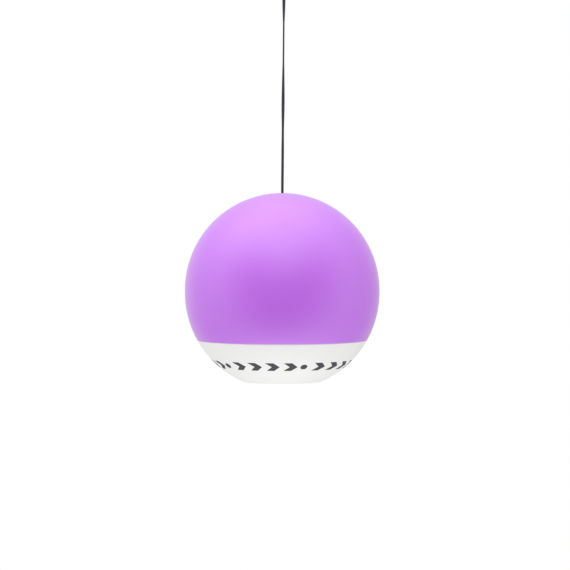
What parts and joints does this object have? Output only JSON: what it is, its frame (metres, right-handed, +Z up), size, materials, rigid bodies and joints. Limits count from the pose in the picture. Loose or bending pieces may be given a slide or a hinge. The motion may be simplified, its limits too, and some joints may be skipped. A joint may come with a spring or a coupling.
{
  "type": "hanging and floating ball light",
  "caption": "Ball-shaped cordless light with a tinted globe over a white screw-off base, hung on a short cord from a swivel snap hook, or floated on a pool.",
  "frame": {"origin": "hang point, the top of the inside of the hook's bow", "axes": "+Z up along the cord's line and the ball's axis, from the flat face to the hook; the hook's gate is on the +Y side, the charging port on the +X side of the base"},
  "size_m": [0.2, 0.2, 0.4807],
  "materials": {
    "polished_steel": "polished",
    "aluminium": "satin",
    "cord": "matte",
    "tinted_globe": "satin",
    "white_shell": "satin",
    "white_plastic": "satin",
    "black_plastic": "satin",
    "grey_rubber": "matte",
    "zinc_screw": "satin",
    "cast_iron": "matte",
    "circuit_board": "gloss",
    "cell_sleeve": "gloss",
    "lamp_chip": "gloss",
    "frosted_dome": "satin",
    "red_lead": "satin",
    "black_lead": "satin"
  },
  "bodies": {
    "hook": {"hook_body": "polished_steel", "gate_pin": "polished_steel"},
    "gate": {"hook_gate": "polished_steel"},
    "swivel": {"swivel_eye": "polished_steel"},
    "ball": {"cord_crimp": "aluminium", "hanging_cord": "cord", "stop_knot": "cord", "stop_washer": "zinc_screw", "gland_nut": "white_plastic", "crown_grommet": "grey_rubber", "globe_shell": "tinted_globe"},
    "seal": {"neck_seal": "grey_rubber"},
    "base": {"base_shell": "white_shell", "bottom_plate": "white_plastic", "port_tether": "grey_rubber", "control_board": "circuit_board", "tact_switch": "black_plastic", "charge_socket": "zinc_screw", "control_chip": "black_plastic", "charge_coil": "black_plastic", "ballast_ring": "cast_iron", "chassis_tray": "black_plastic", "battery_cell_1": "cell_sleeve", "battery_cell_2": "cell_sleeve", "battery_bracket": "aluminium", "led_mast": "white_plastic", "led_board": "aluminium", "led_diffuser": "frosted_dome", "lamp_lead_red": "red_lead", "lamp_lead_black": "black_lead", "plate_screw_1": "zinc_screw", "plate_screw_2": "zinc_screw", "plate_screw_3": "zinc_screw", "plate_screw_4": "zinc_screw", "tray_screw_1": "zinc_screw", "tray_screw_2": "zinc_screw", "tray_screw_3": "zinc_screw", "bracket_screw_1": "zinc_screw", "mast_screw_1": "zinc_screw", "bracket_screw_2": "zinc_screw", "mast_screw_2": "zinc_screw", "led_chip_1": "lamp_chip", "led_chip_2": "lamp_chip", "led_chip_3": "lamp_chip", "led_chip_4": "lamp_chip", "led_chip_5": "lamp_chip", "led_chip_6": "lamp_chip"},
    "button": {"power_button": "grey_rubber"},
    "plug": {"port_plug": "grey_rubber"}
  },
  "joints": [
    {"name": "hook_swivel", "type": "hinge", "parent": "hook", "child": "swivel", "pos_m": [0, 0, -0.0369], "axis": [0, 0, 1], "continuous": true},
    {"name": "ball_swing", "type": "hinge", "parent": "swivel", "child": "ball", "pos_m": [0, 0, -0.0512], "axis": [0, 1, 0], "range_deg": [-50, 50]},
    {"name": "gate_open", "type": "hinge", "parent": "hook", "child": "gate", "pos_m": [0, 0.0105, -0.026], "axis": [1, 0, 0], "range_deg": [0, 28], "stiffness_Nm_per_rad": 0.02, "springref_deg": -17.19},
    {"name": "base_turn", "type": "hinge", "parent": "ball", "child": "seal", "pos_m": [0, 0, -0.436], "axis": [0, 0, -1], "range_deg": [0, 180]},
    {"name": "base_drop", "type": "slide", "parent": "seal", "child": "base", "axis": [0, 0, -1], "range_m": [0, 0.016]},
    {"name": "button_press", "type": "slide", "parent": "base", "child": "button", "axis": [0, 0, 1], "range_m": [0, 0.0015], "stiffness_N_per_m": 900, "springref_m": -0.0006},
    {"name": "port_plug_flap", "type": "hinge", "parent": "base", "child": "plug", "pos_m": [0.0191, 0, -0.4772], "axis": [0, -1, 0], "range_deg": [0, 110]}
  ],
  "couplings": [
    {"joint": "base_drop", "follows": "base_turn", "m_per_rad": 0.005093}
  ]
}
